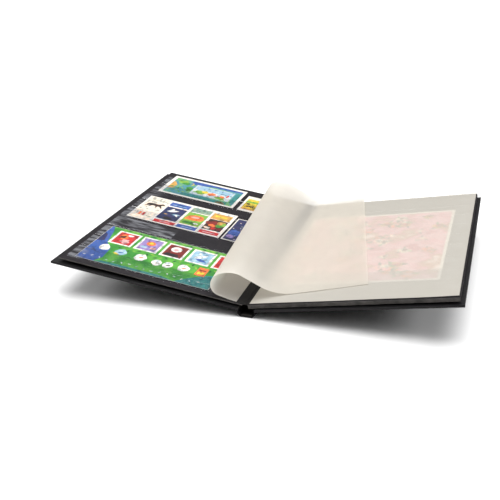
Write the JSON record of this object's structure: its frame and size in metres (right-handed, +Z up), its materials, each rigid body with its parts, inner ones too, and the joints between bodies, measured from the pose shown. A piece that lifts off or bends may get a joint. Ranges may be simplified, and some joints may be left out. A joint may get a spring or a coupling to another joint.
{
  "type": "stamp album",
  "caption": "Open hardcover stockbook lying on its spine, black card leaves with clear pockets, stamps and sheets inside, one glassine interleaf rolled over the gutter",
  "frame": {"origin": "middle of the spine strip where it rests on the table", "axes": "+Z up, +Y along the spine away from the reader, +X towards the back cover"},
  "size_m": [0.4539, 0.3277, 0.0522],
  "materials": {
    "leatherette": "embossed black leatherette, satin",
    "greyboard": "raw greyboard",
    "pastedown": "matt black endpaper",
    "card": "matt black card",
    "linen": "black linen hinge tape",
    "film": "clear glossy film",
    "glassine": "translucent glassine",
    "sheet_landscape": "printed stamp paper",
    "stamp_single": "printed stamp paper",
    "strip_of_four": "printed stamp paper",
    "sheet_night": "printed stamp paper",
    "sheet_garden": "printed stamp paper",
    "sheet_rose": "printed stamp paper"
  },
  "bodies": {
    "spine": {"spine_skin": "leatherette", "spine_board": "greyboard", "spine_lining": "linen", "front_groove_cloth": "leatherette", "back_groove_cloth": "leatherette"},
    "front_cover": {"front_cover_skin": "leatherette", "front_cover_board": "greyboard", "front_cover_pastedown": "pastedown"},
    "back_cover": {"back_cover_skin": "leatherette", "back_cover_board": "greyboard", "back_cover_pastedown": "pastedown"},
    "front_leaf": {"leaf_1": "card", "interleaf_over_2": "glassine"},
    "front_page": {"leaf_2": "card", "front_gutter_linen": "linen", "front_pocket_1": "film", "front_pocket_2": "film", "front_pocket_3": "film", "front_pocket_4": "film", "front_pocket_5": "film", "front_pocket_6": "film", "front_pocket_7": "film", "front_pocket_8": "film", "front_pocket_9": "film"},
    "back_leaves": {"leaf_4": "card", "leaf_5": "card", "leaf_6": "card", "leaf_7": "card", "leaf_8": "card", "interleaf_over_4": "glassine", "interleaf_over_5": "glassine", "interleaf_over_6": "glassine", "interleaf_over_7": "glassine", "interleaf_over_8": "glassine"},
    "top_leaf": {"leaf_3": "card", "back_gutter_linen": "linen", "flat_interleaf": "glassine", "back_pocket_1": "film", "back_pocket_2": "film", "back_pocket_3": "film", "back_pocket_4": "film", "back_pocket_5": "film", "back_pocket_6": "film", "back_pocket_7": "film", "back_pocket_8": "film", "back_pocket_9": "film"},
    "raised_interleaf": {"raised_interleaf": "glassine"},
    "sheet_landscape": {"sheet_landscape": "sheet_landscape"},
    "stamp_single": {"stamp_single": "stamp_single"},
    "strip_of_four": {"strip_of_four": "strip_of_four"},
    "sheet_night": {"sheet_night": "sheet_night"},
    "sheet_garden": {"sheet_garden": "sheet_garden"},
    "sheet_rose": {"sheet_rose": "sheet_rose"}
  },
  "joints": [
    {"name": "front_cover_hinge", "type": "hinge", "parent": "spine", "child": "front_cover", "pos_m": [-0.0086, 0, 0.00533], "axis": [0, 1, 0], "range_deg": [-9.5, 82.1]},
    {"name": "back_cover_hinge", "type": "hinge", "parent": "spine", "child": "back_cover", "pos_m": [0.00839, 0, 0.00509], "axis": [0, -1, 0], "range_deg": [-11, 80.6]},
    {"name": "front_leaf_hinge", "type": "hinge", "parent": "spine", "child": "front_leaf", "pos_m": [-0.00781, 0, 0.00813], "axis": [0, 1, 0], "range_deg": [-9.6, 81.9]},
    {"name": "back_leaves_hinge", "type": "hinge", "parent": "spine", "child": "back_leaves", "pos_m": [0.00442, 0, 0.00868], "axis": [0, -1, 0], "range_deg": [-11, 80.3]},
    {"name": "left_page_lift", "type": "hinge", "parent": "front_leaf", "child": "front_page", "pos_m": [-0.005, 0, 0.01269], "axis": [0, -1, 0], "range_deg": [-35, 0]},
    {"name": "right_page_turn", "type": "hinge", "parent": "back_leaves", "child": "top_leaf", "pos_m": [0.00099, 0, 0.01277], "axis": [0, 1, 0], "range_deg": [-80, 0]},
    {"name": "interleaf_lift", "type": "hinge", "parent": "top_leaf", "child": "raised_interleaf", "pos_m": [-0.002, 0, 0.038], "axis": [-0.0941, 0.9956, 0], "range_deg": [-40, 0], "deforming": ["raised_interleaf"]},
    {"name": "sheet_landscape_slide", "type": "slide", "parent": "front_page", "child": "sheet_landscape", "axis": [0, 1, 0], "range_m": [0, 0.034]},
    {"name": "stamp_single_slide", "type": "slide", "parent": "front_page", "child": "stamp_single", "axis": [0, 1, 0], "range_m": [0, 0.034]},
    {"name": "strip_of_four_slide", "type": "slide", "parent": "front_page", "child": "strip_of_four", "axis": [0, 1, 0], "range_m": [0, 0.016]},
    {"name": "sheet_night_slide", "type": "slide", "parent": "front_page", "child": "sheet_night", "axis": [0, 1, 0], "range_m": [0, 0.018]},
    {"name": "sheet_garden_slide", "type": "slide", "parent": "front_page", "child": "sheet_garden", "axis": [0, 1, 0], "range_m": [0, 0.03]},
    {"name": "sheet_rose_slide", "type": "slide", "parent": "top_leaf", "child": "sheet_rose", "axis": [0, 1, 0], "range_m": [0, 0.045]}
  ],
  "couplings": [
    {"joint": "front_leaf_hinge", "follows": "front_cover_hinge", "ratio": 0.9951},
    {"joint": "back_leaves_hinge", "follows": "back_cover_hinge", "ratio": 0.9938}
  ]
}
